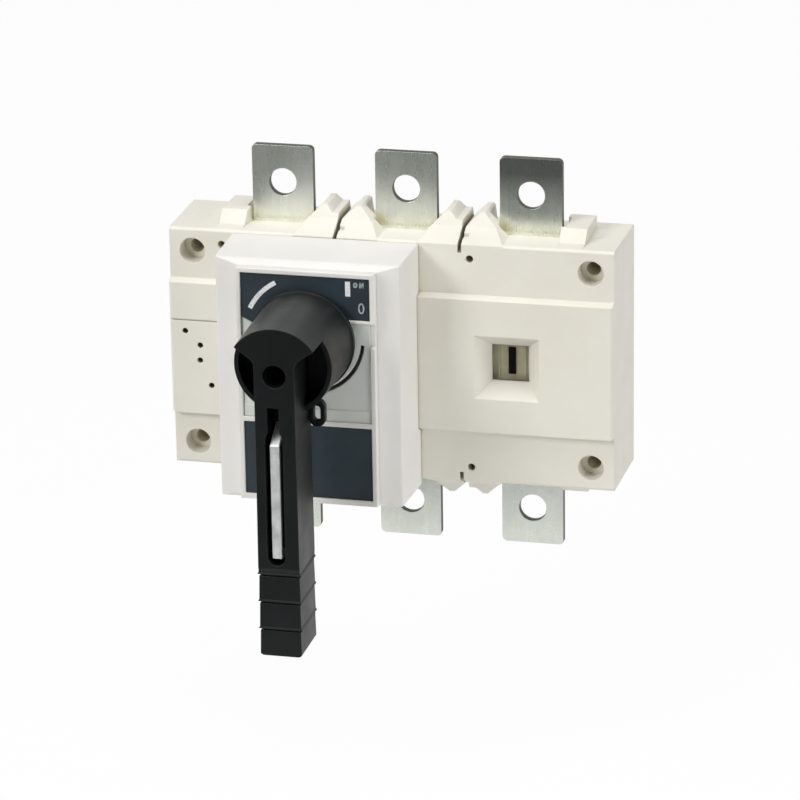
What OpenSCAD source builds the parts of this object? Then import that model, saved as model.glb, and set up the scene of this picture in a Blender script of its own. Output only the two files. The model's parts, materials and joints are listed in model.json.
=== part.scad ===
// Three-pole load-break isolator switch with a direct rotary handle.
// Origin at the centre of the case's back face: +X to the right, -Y to the front, +Z up.

/* [Case] */
// Width of the case to the left of the poles' bays
end_left_w = 18; // [16:0.5:24]
// Width of the case to the right of the poles' bays
end_right_w = 12; // [10:0.5:18]
// Height of the case
case_h = 98.5; // [96:0.5:106]
// Depth of the case at its upper and lower bands
case_d = 37.6; // [36:0.2:42]
// How much narrower the case is at its front than at its back
case_draft = 1.4; // [0.4:0.1:3]
// Chamfer along the front edges of the case
case_chamfer = 0.9; // [0.4:0.1:1.5]
// Upper edge of the raised centre band, above the middle
band_top = 27.5; // [24:0.5:30]
// Lower edge of the raised centre band, below the middle
band_bottom = 27; // [24:0.5:30]
// How far the centre band stands proud of the case
band_step = 3.4; // [2:0.1:5]
// Slope of the band's upper and lower edges, along the height
band_slope = 1.2; // [0.4:0.1:2]
// Cut across the lower corners of the centre band
band_corner = 1.7; // [0.5:0.1:3]
// Height of the fine seam across the left of the band, above the middle
seam_z = 11.8; // [10:0.2:16]
// Width of the seam
seam_w = 0.5; // [0.3:0.1:1]

/* [Fixing holes] */
// Distance of a fixing hole from the side of the case
fixing_inset_x = 10; // [8:0.5:11]
// Distance of a fixing hole from the top or bottom of the case
fixing_inset_z = 9.25; // [8:0.25:11]
// Diameter of a fixing hole
fixing_d = 5.5; // [4.5:0.1:6.5]
// Diameter of the recess for a fixing screw's head
head_recess_d = 10.3; // [9.5:0.1:11]
// Depth of the recess for a fixing screw's head
head_recess_depth = 7; // [4:0.5:12]

/* [Terminals] */
// Distance between the centres of two poles
pole_pitch = 50; // [47:0.5:52]
// Width of a terminal tab
tab_w = 25; // [20:0.5:27]
// Thickness of a terminal tab
tab_t = 3; // [2:0.1:4]
// Distance from the middle of the case to the end of a tab
tab_reach = 80; // [76:0.5:90]
// Diameter of the hole in a tab
tab_hole_d = 11; // [8.5:0.1:12.5]
// Distance from the end of a tab to the centre of its hole
tab_hole_inset = 15; // [11:0.5:16]
// Depth of a tab's back face from the back of the case
tab_depth = 17.5; // [15:0.5:19]
// Length of a tab inside the case
tab_root = 22; // [15:1:30]
// Radius of a tab's outer corners
tab_corner_r = 2; // [0.5:0.1:4]
// Depth of the hollow around a tab's root, below the edge of the case
pocket_depth = 2.6; // [1:0.1:4]
// Width of the hollow beside a tab
pocket_margin = 2.2; // [1:0.1:2.5]
// Length of the hollow behind a tab
pocket_back_l = 6; // [3:0.5:8]
// Length of the shallow step in front of a tab
pocket_front_l = 4; // [2:0.5:6]
// Depth of the shallow step in front of a tab
pocket_step = 0.6; // [0.3:0.1:1.2]

/* [Barrier guides] */
// Thickness of the slot that takes a phase barrier
slot_w = 1.5; // [1:0.1:2.5]
// Depth of the barrier slot below the edge of the case
slot_depth = 3.8; // [2:0.1:6]
// Height of the guide ridges above the case
ridge_h = 9.2; // [7:0.2:12]
// Distance from the barrier slot to the crest of a ridge
ridge_x = 6.8; // [6:0.1:7.5]
// Width of a ridge's crest
ridge_crest_w = 1.9; // [1:0.1:2.5]
// Distance from the barrier slot to the ridge's wall beside a tab
ridge_wall_x = 8.7; // [8.2:0.1:9.5]
// Depth of the ridges' back end from the back of the case
ridge_back = 10.5; // [8:0.5:12]
// Length of a ridge's crest
ridge_crest_l = 15; // [12:0.5:16]
// Length of the slope behind a ridge's crest
ridge_back_l = 4.6; // [3:0.2:6]
// Length of the steep slope in front of a ridge's crest
ridge_front_l = 3; // [2:0.2:5]
// Height of the ramp in front of the ridges, at its back
ramp_h = 4.2; // [3:0.2:5]
// Height of the lip along one side of the barrier slot
slot_lip_h = 6.4; // [5:0.2:7]
// Width of the lip along one side of the barrier slot
slot_lip_w = 2.7; // [2:0.1:3]
// Width of the notch at the front of the barrier slot
notch_w = 2.8; // [2:0.1:4]
// Length of the notch at the front of the barrier slot
notch_l = 3; // [2:0.5:4]
// Width of the blocks at the two ends of the row of poles
end_block_w = 10.5; // [6:0.5:11]
// Distance of an end block from its tab
end_block_gap = 0.6; // [0.2:0.1:2]
// Depth of an end block's back from the back of the case
end_block_back = 7.5; // [5:0.5:10]
// Height of the end blocks above the case
end_block_h = 5.2; // [3:0.2:7]
// Length of an end block's level top
end_block_l = 18.5; // [12:0.5:20]

/* [Peg holes] */
// Diameter of the small peg holes for a terminal cover
peg_d = 3; // [2:0.1:4]
// Depth of the peg holes
peg_depth = 8; // [4:0.5:12]
// Distance of the peg holes from the middle of the case, along the height
peg_z = 43.1; // [41:0.1:44]
// Distance of a peg hole to the right of a barrier's place
peg_right = 4; // [3:0.1:6]
// Diameter of the four pin holes in the left of the centre band
pin_hole_d = 2.3; // [1.5:0.1:3]
// Depth of the pin holes
pin_hole_depth = 4; // [2:0.5:8]

/* [Contact window] */
// Distance of the window's centre from the right side of the case
window_inset = 42.8; // [38:0.2:50]
// Width and height of the window opening
window_size = 14.6; // [12:0.2:18]
// Width and height of the sloped recess at the face of the band
window_mouth = 26; // [23:0.5:30]
// Depth of the sloped recess behind the face of the band
window_depth = 8; // [6:0.5:11]
// Rim of the lens behind the opening
lens_rim = 1.2; // [0.8:0.1:2]
// Thickness of the lens
lens_t = 1.5; // [1:0.1:2.5]
// Width of the bar on the contact indicator
flag_w = 2.9; // [2:0.1:4]
// Height of the bar on the contact indicator
flag_h = 11; // [8:0.2:12]
// Distance between the lens and the indicator's bar
flag_gap = 1.2; // [0.6:0.1:2]
// Height of the indicator's bar above its carrier
flag_t = 0.8; // [0.4:0.1:1.2]

/* [Mechanism housing] */
// Width of the housing at its front
housing_w = 73.6; // [70:0.5:80]
// Distance of the housing's middle to the left of the handle's axis
housing_shift = 0.8; // [0:0.1:2]
// Top of the housing above the middle of the case
housing_top = 48; // [46:0.5:49]
// Bottom of the housing below the middle of the case
housing_bottom = 51; // [49:0.5:54]
// Depth of the housing's front edge from the back of the case
housing_d = 66; // [60:0.5:72]
// How much wider and taller the housing is at its back
housing_flare = 1.6; // [0.4:0.1:3]
// Depth of the sloped face in front of the housing
slope_d = 3.4; // [2:0.1:5]
// Inset of the sloped face from the housing's top and bottom
slope_inset = 2; // [1:0.1:4]

/* [Front plate] */
// Width of the front plate
plate_w = 55.2; // [50:0.2:58]
// Thickness of the front plate
plate_t = 4; // [2.4:0.1:5]
// Width of the rim round the front plate
rim_w = 1.9; // [1:0.1:3]
// Width of the rim below the lower label
rim_low_w = 2.2; // [1:0.1:3]
// Depth of the front plate's shallow pocket
plate_pocket = 1.8; // [1:0.1:2]
// Width of the rib below the upper label
rib_w = 1.2; // [0.8:0.1:2]
// Width of the rib above the lower label
low_rib_w = 2; // [1:0.1:3]
// Length of the rib under the right end of the upper label
rib_l = 11; // [8:0.5:14]
// Height of the upper label
upper_label_h = 17; // [14:0.1:18]
// Height of the lower label
lower_label_h = 30; // [26:0.5:34]
// Thickness of the labels
label_t = 1; // [0.4:0.1:1.2]
// Distance of the upper label's lowest corner from its left side
label_corner_in = 5.6; // [4:0.2:8]
// Distance of the upper label's lowest corner below its right end
label_corner_down = 4; // [2:0.2:6]
// Thickness of the middle panel
panel_t = 0.7; // [0.4:0.1:1.2]
// Height of the step across the middle panel, below the middle of the case
panel_step_z = 10; // [7:0.5:12]
// How far the panel below the step stands proud
panel_step = 0.3; // [0.2:0.1:0.6]
// Height of the opening in the right side of the rim
rim_gap_h = 9.5; // [5:0.1:11]
// Radius of the curved slot round the handle, at the middle of its width
arc_r = 22.5; // [21.5:0.1:23.5]
// Width of the curved slot
arc_w = 1.5; // [1:0.1:2]
// Depth of the curved slot behind the front plate
arc_depth = 3; // [1:0.5:6]
// Upper end of the curved slot, in degrees below the level of the handle's axis
arc_start = 5; // [0:1:30]
// Lower end of the curved slot, in degrees below the level of the handle's axis
arc_end = 82; // [50:1:85]

/* [Handle] */
// Distance of the handle's axis from the left side of the case
handle_inset = 65; // [62:0.5:70]
// Height of the handle's axis above the middle of the case
handle_up = 19; // [17:0.5:21]
// Diameter of the drive shaft
shaft_d = 12; // [10:0.5:14]
// Running clearance round the shaft
shaft_clear = 0.05; // [0.02:0.01:0.1]
// Length of the shaft inside the mechanism housing
shaft_root = 16; // [10:1:22]
// Radius of the bush that guides the shaft
bush_r = 15; // [11:0.5:16]
// Gap between the front plate and the hub
hub_gap = 2.7; // [1.5:0.1:4]
// Radius of the hub at its back
hub_back_r = 20.5; // [20:0.1:21.4]
// Radius of the hub at its front
hub_front_r = 18.9; // [17.5:0.1:19.5]
// Length of the hub
hub_l = 43.9; // [42:0.1:50]
// Length of the rim at the hub's back
hub_rim_l = 2; // [1:0.1:3]
// Height of the rim at the hub's back
hub_rim_h = 0.5; // [0.3:0.1:0.8]
// Angle of the hub's front face above the level, at each side
sector_angle = 35; // [25:1:45]
// Depth of the hub's open sides behind its front face
scoop_depth = 13; // [8:0.5:16]
// Radius of the hollow corner between the hub's front face and the grip
neck_r = 4; // [2:0.5:6]
// Depth of the hollow inside the hub's open sides
hollow_depth = 22; // [18:0.5:26]
// Wall of the hub round the hollows
hub_wall = 1.8; // [1.2:0.1:3]
// Width of the grip at its end
grip_w = 17.2; // [15:0.1:18]
// Width of the grip beside the hub
shank_w = 15.8; // [14:0.1:16.8]
// Depth of the grip
grip_d = 23; // [20:0.5:28]
// Distance from the handle's axis to the end of the grip
grip_reach = 114; // [106:1:125]
// Radius of the grip's end corners
grip_corner_r = 2; // [1:0.1:4]
// Number of steps at the end of the grip
steps = 3; // [2:1:4]
// Length of each step at the end of the grip
step_l = 11.2; // [8:0.1:12]
// How much each step widens along its length, on every side
step_h = 0.2; // [0.1:0.1:0.8]
// Height of the lip that ends a step
lip_h = 0.4; // [0.2:0.1:0.8]
// Length of the lip that ends a step
lip_l = 0.9; // [0.5:0.1:1.5]
// Width of the grooves between the steps
groove_w = 0.9; // [0.6:0.1:1.6]
// Depth of the grooves between the steps
groove_depth = 1.3; // [0.8:0.1:1.6]

/* [Padlock bar and eye] */
// Distance from the handle's axis to the upper end of the bar's slot
bar_slot_start = 12.6; // [11:0.2:16]
// Distance of the slot's middle to the left of the grip's middle
bar_side = 0.8; // [0:0.1:1]
// Length of the slot for the padlock bar
bar_slot_l = 64; // [56:0.5:66]
// Width of the slot for the padlock bar
bar_slot_w = 7; // [6:0.1:8]
// Width of the narrow neck at the slot's upper end
neck_w = 4.7; // [4.4:0.1:5.4]
// Length of the narrow neck at the slot's upper end
neck_l = 9.4; // [7:0.2:11]
// Depth of the slot for the padlock bar
bar_slot_depth = 11; // [8:0.5:14]
// Width of the padlock bar
bar_w = 4; // [3:0.1:4.1]
// Thickness of the padlock bar
bar_t = 2; // [1.5:0.1:3]
// Distance of the bar's face behind the grip's face
bar_inset = 1.2; // [0.5:0.1:3]
// Distance from the slot's upper end to the bar
bar_top_gap = 8.6; // [4:0.2:10]
// Length of the slope at the bar's upper end
bar_top_run = 7; // [6:0.5:12]
// Distance from the slot's lower end to the bar
bar_end_gap = 1.4; // [1.3:0.1:6]
// Length of the slope at the bar's lower end
bar_end_run = 1; // [0.5:0.1:6]
// Height of the padlock eye
eye_h = 11; // [9:0.2:13]
// Width of the padlock eye
eye_w = 6.4; // [6:0.1:8]
// Thickness of the padlock eye
eye_t = 3; // [2:0.1:4]
// Distance of the padlock eye in front of the grip's back
eye_inset = 0; // [0:0.5:6]
// Height of the hole in the padlock eye
eye_hole_h = 6; // [5:0.1:6.4]
// Width of the hole in the padlock eye
eye_hole_w = 2.6; // [2:0.1:3]

/* [Handle screw] */
// Diameter of the recess for the handle's screw
screw_recess_d = 9.2; // [7:0.1:10]
// Depth of the recess for the handle's screw
screw_recess_depth = 9; // [6:0.5:12]
// Diameter of the screw's head
screw_head_d = 8; // [6:0.1:8.4]
// Height of the screw's head
screw_head_h = 4; // [3:0.2:5]
// Diameter of the screw's shank
screw_d = 5; // [4:0.1:6]
// Width across the flats of the screw's socket
screw_key = 4; // [2.5:0.5:5]

/* [Hidden] */
$fn = 64;

cream = "#EDE8DA";
white = "#EFEDE8";
navy = "#2A3640";
black = "#26282A";
tin = "#A9ADA8";
steel = "#C8CACA";

// Overrun of a cut beyond the face that it opens, and the free play of a drop-in part
over = 1;
play = 0.3;

// Planes, as depths from the back of the case to the front
parting = tab_depth + tab_t;
band_d = case_d + band_step;
slope_front = housing_d + slope_d;
plate_front = slope_front + plate_t;
pocket_floor = plate_front - plate_pocket;
hub_back = plate_front + hub_gap;
hub_front = hub_back + hub_l;
grip_back = hub_front - grip_d;
screw_seat = hub_front - screw_recess_depth;
shaft_front = screw_seat - screw_head_h;
shaft_back = housing_d - shaft_root;
lens_front = band_d - window_depth;
lens_back = lens_front - lens_t;
flag_front = lens_back - flag_gap;
carrier_front = flag_front - flag_t;

// Places of the poles and of the barrier slots, along the row
case_w = end_left_w + 3 * pole_pitch + end_right_w;
pole_offset = (end_left_w - end_right_w) / 2;
poles = [for (i = [-1:1]) pole_offset + i * pole_pitch];
barriers = [for (i = [-1, 1]) pole_offset + i * pole_pitch / 2];
end_barrier = pole_offset - 1.5 * pole_pitch;
pegs = [end_barrier + peg_right, barriers[1] + peg_right];
end_block_x = pole_pitch + tab_w / 2 + end_block_gap + end_block_w / 2;
fixings = [for (x = [-1, 1], z = [-1, 1])
    [x * (case_w / 2 - fixing_inset_x), z * (case_h / 2 - fixing_inset_z)]];
handle_left = case_w / 2 - handle_inset;
housing_left = handle_left + housing_shift;
window_x = case_w / 2 - window_inset;
tab_z0 = case_h / 2 - tab_root;

// Pin holes as distances from the left side and from the middle of the case
pin_holes = [[7, 7.5], [13, 1.8], [12.8, -4.5], [17.2, -14.8]];

// Left and right sides of the mechanism housing's front
housing_x0 = -housing_left - housing_w / 2;
housing_x1 = -housing_left + housing_w / 2;

// Labels and the middle panel inside the front plate's rim
plate_z0 = slope_inset - housing_bottom;
plate_z1 = housing_top - slope_inset;
field_x0 = -plate_w / 2 + rim_w;
field_x1 = plate_w / 2 - rim_w;
field_z0 = plate_z0 + rim_low_w;
field_z1 = plate_z1 - rim_w;
upper_z = field_z1 - upper_label_h;
lower_z = field_z0 + lower_label_h;
panel_top = upper_z - rib_w;
panel_bottom = lower_z + low_rib_w;

// Start of the steps at the end of the grip, below the handle's axis
steps_z = steps * step_l - grip_reach;

// ---- helpers ----

// Extrudes a (depth, height) profile along X, centred on the origin
module along_x(length) {
    rotate([90, 0, 90])
        linear_extrude(height = length, center = true)
            scale([-1, 1])
                children();
}

// Extrudes a front view (x, z) between two depths
module from_depth(near_back, near_front) {
    translate([0, -near_back, 0])
        rotate([90, 0, 0])
            linear_extrude(height = near_front - near_back)
                children();
}

// Extrudes a plan (x, depth) between two heights
module between_z(low, high) {
    translate([0, 0, low])
        linear_extrude(height = high - low)
            scale([1, -1])
                children();
}

// A round bar or hole along Y at (x, z) between two depths
module rod(x, z, d, near_back, near_front) {
    translate([x, -near_back, z])
        rotate([90, 0, 0])
            cylinder(h = near_front - near_back, d = d);
}

// A rectangle between two corners
module rect(x0, y0, x1, y1) {
    translate([x0, y0])
        square([x1 - x0, y1 - y0]);
}

// A rectangle with round corners of radius r
module round_rect(x0, y0, x1, y1, r) {
    rect(x0 + r, y0, x1 - r, y1);
    rect(x0, y0 + r, x1, y1 - r);
    for (x = [x0 + r, x1 - r], y = [y0 + r, y1 - r]) {
        translate([x, y])
            circle(r);
    }
}

// An upright slot with round ends
module slot_shape(w, h) {
    square([w, h - w], center = true);
    for (s = [-1, 1]) {
        translate([0, s * (h - w) / 2])
            circle(d = w);
    }
}

// A box that tapers from one rectangle at near_back to another at near_front
module tapered_box(near_back, back, near_front, front) {
    intersection() {
        between_z(min(back[1], front[1]) - over, max(back[3], front[3]) + over)
            polygon([[back[0], near_back], [back[2], near_back],
                     [front[2], near_front], [front[0], near_front]]);
        along_x(4 * (back[2] - back[0]))
            polygon([[near_back, back[1]], [near_back, back[3]],
                     [near_front, front[3]], [near_front, front[1]]]);
    }
}

// Repeats its children above and below the middle of the case
module top_and_bottom() {
    for (side = [0, 1]) {
        mirror([0, 0, side])
            children();
    }
}

// Moves its children to the handle's axis
module at_handle() {
    translate([-handle_left, 0, handle_up])
        children();
}

// ---- case ----

// Side view of the case: flat bands above and below, and the centre band between them
module case_profile() {
    top = case_h / 2;
    polygon([
        [0, -top],
        [0, top],
        [case_d - case_chamfer, top],
        [case_d, top - case_chamfer],
        [case_d, band_top + band_slope],
        [band_d, band_top],
        [band_d, -band_bottom],
        [case_d, -band_bottom - band_slope],
        [case_d, -top + case_chamfer],
        [case_d - case_chamfer, -top]
    ]);
}

// Plan of the case, narrower at the front, with its upright edges broken
module case_plan() {
    back = case_w / 2;
    front = back - case_draft / 2;
    polygon([
        [-back, 0],
        [back, 0],
        [front, band_d - case_chamfer],
        [front - case_chamfer, band_d],
        [case_chamfer - front, band_d],
        [-front, band_d - case_chamfer]
    ]);
}

// Front view of a pair of ridges: a lip stands beside the slot between them.
// The outer sides are upright walls, or slope down where flank is true.
module ridge_view(flank) {
    edge = case_h / 2;
    crest = ridge_crest_w / 2;
    inner = ridge_x - crest;
    outer = ridge_x + crest;
    wall = flank ? outer + ridge_h : ridge_wall_x;
    shoulder = flank ? edge : edge + ridge_h + outer - ridge_wall_x;
    lip_x = slot_w / 2 + slot_lip_w;
    polygon([
        [-wall, edge - over],
        [-wall, shoulder],
        [-outer, edge + ridge_h],
        [-inner, edge + ridge_h],
        [-lip_x, edge + slot_lip_h],
        [0, edge + slot_lip_h],
        [0, edge + ramp_h],
        [slot_w / 2, edge + ramp_h],
        [inner, edge + ridge_h],
        [outer, edge + ridge_h],
        [wall, shoulder],
        [wall, edge - over]
    ]);
}

// Side view of the ridges between two depths: a level crest, a steep front and a ramp to the edge
module ridge_side(near_back, near_front) {
    edge = case_h / 2;
    crest_end = ridge_back + ridge_crest_l;
    intersection() {
        polygon([
            [ridge_back - ridge_back_l, edge - over],
            [ridge_back, edge + ridge_h],
            [crest_end, edge + ridge_h],
            [crest_end + ridge_front_l, edge + ramp_h],
            [case_d, edge - case_chamfer / 2],
            [case_d, edge - over]
        ]);
        rect(near_back, 0, near_front, case_h);
    }
}

// One pair of guide ridges above the case, with the slot for a phase barrier between them
module guide() {
    difference() {
        union() {
            intersection() {
                from_depth(0, case_d)
                    ridge_view(false);
                along_x(4 * ridge_x)
                    ridge_side(0, parting);
            }
            intersection() {
                from_depth(0, case_d)
                    ridge_view(true);
                along_x(6 * ridge_x)
                    ridge_side(parting, case_d);
            }
        }
        barrier_slot();
    }
}

// Slot for a phase barrier, with the wider notch for the barrier's hook
module barrier_slot() {
    edge = case_h / 2;
    high = edge + ridge_h + over;
    notch = case_d - 1.5 * notch_l;
    from_depth(-over, case_d + over)
        rect(-slot_w / 2, edge - slot_depth, slot_w / 2, high);
    from_depth(notch - notch_l / 2, notch + notch_l / 2)
        rect(0, edge + ramp_h / 4, notch_w, high);
}

// Repeats its children at each barrier, above the case and turned over below it
module at_barriers() {
    for (x = barriers, turn = [0, 180]) {
        translate([x, 0, 0])
            rotate([0, turn, 0])
                children();
    }
}

// Block with a level top and a steep front, beside the first and last pole
module end_block() {
    edge = case_h / 2;
    front = end_block_back + end_block_l;
    along_x(end_block_w)
        polygon([
            [end_block_back, edge - over],
            [end_block_back, edge + end_block_h],
            [front, edge + end_block_h],
            [front + end_block_h, edge + over / 2],
            [case_d - case_chamfer, edge],
            [case_d - case_chamfer, edge - over]
        ]);
}

// Hollow round a tab's root, open at the top of the case
module tab_pocket() {
    edge = case_h / 2;
    high = edge + 2 * ridge_h;
    half = tab_w / 2 + pocket_margin;
    from_depth(tab_depth - pocket_back_l, parting)
        rect(-half, edge - pocket_depth, half, high);
    from_depth(parting - over, parting + pocket_front_l)
        rect(-tab_w / 2, edge - pocket_step, half, high);
}

// The whole case before it is split into its two halves
module case_block() {
    difference() {
        union() {
            difference() {
                intersection() {
                    along_x(2 * case_w)
                        case_profile();
                    between_z(-case_h, case_h)
                        case_plan();
                }
                at_barriers()
                    barrier_slot();
            }
            at_barriers()
                guide();
            top_and_bottom() {
                for (side = [-1, 1]) {
                    translate([pole_offset + side * end_block_x, 0, 0])
                        end_block();
                }
            }
        }
        top_and_bottom() {
            for (x = poles) {
                translate([x, 0, 0])
                    tab_pocket();
            }
        }
        for (p = fixings) {
            rod(p[0], p[1], fixing_d, -over, band_d);
        }
        band_marks();
    }
}

// Cut lower corners of the centre band, and the seam across its left end
module band_marks() {
    low = -band_bottom - band_slope;
    for (side = [0, 1]) {
        mirror([side, 0, 0])
            from_depth(case_d, band_d + over)
                polygon([
                    [case_w / 2, low - over],
                    [case_w / 2 - case_draft / 2 - band_corner - over, low - over],
                    [case_w / 2, low + band_corner + over]
                ]);
    }
    from_depth(band_d - seam_w, band_d + over)
        rect(-case_w, seam_z, housing_x0, seam_z + seam_w);
}

// Rear half of the case, with a seat for each tab
module case_base() {
    color(cream)
    difference() {
        intersection() {
            case_block();
            from_depth(0, parting)
                square(2 * case_w, center = true);
        }
        top_and_bottom() {
            for (x = poles) {
                from_depth(tab_depth, parting + over)
                    rect(x - tab_w / 2 - play / 2, tab_z0, x + tab_w / 2 + play / 2, tab_reach);
            }
        }
    }
}

// Front half of the case, with the screw recesses, peg holes and the contact window
module case_cover() {
    lens_half = window_size / 2 + lens_rim;
    color(cream)
    difference() {
        intersection() {
            case_block();
            from_depth(parting, band_d)
                square(2 * case_w, center = true);
        }
        for (p = fixings) {
            rod(p[0], p[1], head_recess_d, case_d - head_recess_depth, band_d);
        }
        for (x = pegs, z = [-1, 1]) {
            rod(x, z * peg_z, peg_d, case_d - peg_depth, band_d);
        }
        for (p = pin_holes) {
            rod(p[0] - case_w / 2, p[1], pin_hole_d, band_d - pin_hole_depth, band_d + over);
        }
        translate([window_x, 0, 0]) {
            window_cut();
            from_depth(parting - over, lens_front)
                square(2 * lens_half, center = true);
        }
    }
}

// Sloped recess and square opening of the contact window
module window_cut() {
    grow = (window_mouth - window_size) / 2 / window_depth * over;
    mouth = window_mouth / 2 + grow;
    hole = window_size / 2;
    tapered_box(lens_front, [-hole, -hole, hole, hole], band_d + over, [-mouth, -mouth, mouth, mouth]);
    from_depth(lens_front - over, lens_front + over / 10)
        square(window_size, center = true);
}

// ---- contact window ----

module window_lens() {
    color("LightGray", 0.4)
    translate([window_x, 0, 0])
        from_depth(lens_back, lens_front)
            square(window_size + 2 * lens_rim - play, center = true);
}

// Carrier of the contact indicator, with a raised line along each side
module indicator_carrier() {
    half = window_size / 2 + lens_rim - play / 2;
    line_x = flag_w * 1.2;
    color("#7D7966")
    translate([window_x, 0, 0]) {
        from_depth(parting, carrier_front)
            square(2 * half, center = true);
        for (side = [-1, 1]) {
            from_depth(carrier_front, carrier_front + flag_t / 2)
                translate([side * line_x * 1.5, 0])
                    square([flag_w / 3, 2 * half], center = true);
        }
    }
}

module indicator_flag() {
    color(black)
    translate([window_x, 0, 0])
        from_depth(carrier_front, flag_front)
            square([flag_w, flag_h], center = true);
}

// ---- terminals ----

// One terminal tab above the case, at x along the row
module terminal(x) {
    color(tin)
    translate([x, 0, 0])
    difference() {
        from_depth(tab_depth, parting) {
            round_rect(-tab_w / 2, tab_reach - 4 * tab_corner_r, tab_w / 2, tab_reach, tab_corner_r);
            rect(-tab_w / 2, tab_z0 + play, tab_w / 2, tab_reach - tab_corner_r);
        }
        rod(0, tab_reach - tab_hole_inset, tab_hole_d, tab_depth - over, parting + over);
    }
}

module bottom_terminal(x) {
    mirror([0, 0, 1])
        terminal(x);
}

// ---- mechanism housing and front plate ----

// Housing of the mechanism, seated on the stepped face of the case
module mechanism_housing() {
    flare = housing_flare / 2;
    front = [housing_x0, -housing_bottom, housing_x1, housing_top];
    back = [front[0] - flare, front[1] - flare, front[2] + flare, front[3] + flare / 2];
    inner = [-handle_left - plate_w / 2, plate_z0, -handle_left + plate_w / 2, plate_z1];
    color(white)
    difference() {
        union() {
            tapered_box(case_d - over, back, housing_d, front);
            tapered_box(housing_d, front, slope_front, inner);
        }
        along_x(4 * case_w)
            case_profile();
        from_depth(0, case_d)
            square(4 * case_w, center = true);
        at_handle()
            rod(0, 0, shaft_d + 2 * shaft_clear, shaft_back - play, plate_front);
        curved_slot(slope_front - arc_depth);
    }
}

// Outline of the upper label: its lower left corner runs in towards the hub
module upper_label_shape(gap) {
    polygon([
        [field_x0 + gap, field_z1 - gap],
        [field_x1 - gap, field_z1 - gap],
        [field_x1 - gap, upper_z + gap],
        [field_x1 - rib_l, upper_z + gap],
        [field_x0 + label_corner_in + rib_l, upper_z - label_corner_down + gap],
        [field_x0 + label_corner_in, upper_z - label_corner_down + gap],
        [field_x0 + gap, upper_z - rib_w + gap]
    ]);
}

// Frame with a raised rim, two ribs and an opening at the right
module front_plate() {
    color(white)
    difference() {
        translate([-handle_left, 0, 0]) {
            difference() {
                from_depth(slope_front, plate_front)
                    rect(-plate_w / 2, plate_z0, plate_w / 2, plate_z1);
                from_depth(pocket_floor, plate_front + over)
                    rect(field_x0, field_z0, field_x1, field_z1);
                from_depth(pocket_floor, plate_front + over)
                    rect(field_x1 - over, panel_top - rim_gap_h, plate_w, panel_top);
            }
            from_depth(pocket_floor, plate_front)
                rect(field_x1 - rib_l, panel_top, plate_w / 2, upper_z);
            from_depth(pocket_floor, plate_front)
                rect(-plate_w / 2, lower_z, plate_w / 2, panel_bottom);
        }
        at_handle()
            rod(0, 0, 2 * bush_r, pocket_floor, plate_front + over);
        at_handle()
            rod(0, 0, shaft_d + 2 * shaft_clear, slope_front - over, plate_front);
        curved_slot(slope_front - over);
    }
}

// Space of the curved slot below and beside the hub, from a depth to the front
module curved_slot(near_back) {
    outer = arc_r + arc_w / 2;
    far = 2 * outer;
    at_handle()
        from_depth(near_back, plate_front)
        intersection() {
            difference() {
                circle(outer);
                circle(outer - arc_w);
            }
            polygon([
                [0, 0],
                [far * cos(arc_start), -far * sin(arc_start)],
                [far * cos(arc_end), -far * sin(arc_end)]
            ]);
        }
}

// Panel between the labels, with the curved slot round the handle's lower right
module middle_panel() {
    panel_front = pocket_floor + panel_t;
    color("#D5D8D2")
    difference() {
        translate([-handle_left, 0, 0]) {
            from_depth(pocket_floor, panel_front)
                panel_shape();
            from_depth(pocket_floor, panel_front + panel_step)
                rect(field_x0 + play / 2, panel_bottom, field_x1 - play / 2, -panel_step_z);
        }
        at_handle()
            rod(0, 0, 2 * bush_r, pocket_floor - over, plate_front + over);
        curved_slot(pocket_floor - over);
    }
}

// Outline of the panel: it ends at the rim, the ribs and the upper label
module panel_shape() {
    difference() {
        rect(field_x0 + play / 2, panel_bottom, field_x1 - play / 2, panel_top);
        upper_label_shape(0);
    }
}

module upper_label() {
    color(navy)
    difference() {
        translate([-handle_left, 0, 0])
            from_depth(pocket_floor, pocket_floor + label_t)
                upper_label_shape(play / 2);
        at_handle()
            rod(0, 0, 2 * bush_r, pocket_floor - over, plate_front);
    }
}

module lower_label() {
    gap = play / 2;
    color(navy)
    translate([-handle_left, 0, 0])
        from_depth(pocket_floor, pocket_floor + label_t)
            rect(field_x0 + gap, field_z0 + gap, field_x1 - gap, lower_z - gap);
}

// ---- handle ----

// Bush that carries the shaft in front of the plate
module shaft_bush() {
    color(black)
    at_handle()
    difference() {
        rod(0, 0, 2 * bush_r - play, pocket_floor, hub_back - play);
        rod(0, 0, shaft_d + 2 * shaft_clear, pocket_floor - over, hub_back);
    }
}

module drive_shaft() {
    color(steel)
    at_handle()
    difference() {
        rod(0, 0, shaft_d, shaft_back, shaft_front);
        rod(0, 0, screw_d + 2 * shaft_clear, shaft_front - 3 * screw_d, shaft_front + over);
    }
}

// Cone of the hub between two depths, made smaller by inset
module hub_cone(inset, near_back, near_front) {
    base_r = hub_back_r - hub_rim_h;
    taper = (base_r - hub_front_r) / hub_l;
    r_at_back = base_r - taper * (near_back - hub_back) - inset;
    r_at_front = base_r - taper * (near_front - hub_back) - inset;
    translate([0, -near_back, 0])
        rotate([90, 0, 0])
            cylinder(h = near_front - near_back, r1 = r_at_back, r2 = r_at_front, $fn = 96);
}

// Front view of the space beside the grip, below the face of the hub, with a round corner
module scoop_shape() {
    far = 2 * hub_back_r;
    near = shank_w / 2;
    corner = near * tan(sector_angle);
    leg = neck_r * tan(45 - sector_angle / 2);
    polygon([
        [near, corner - leg],
        [near + leg * cos(sector_angle), corner + leg * sin(sector_angle)],
        [far, far * tan(sector_angle)],
        [far, -far],
        [near, -far]
    ]);
    translate([near + neck_r, corner - leg])
        circle(neck_r);
}

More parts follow.
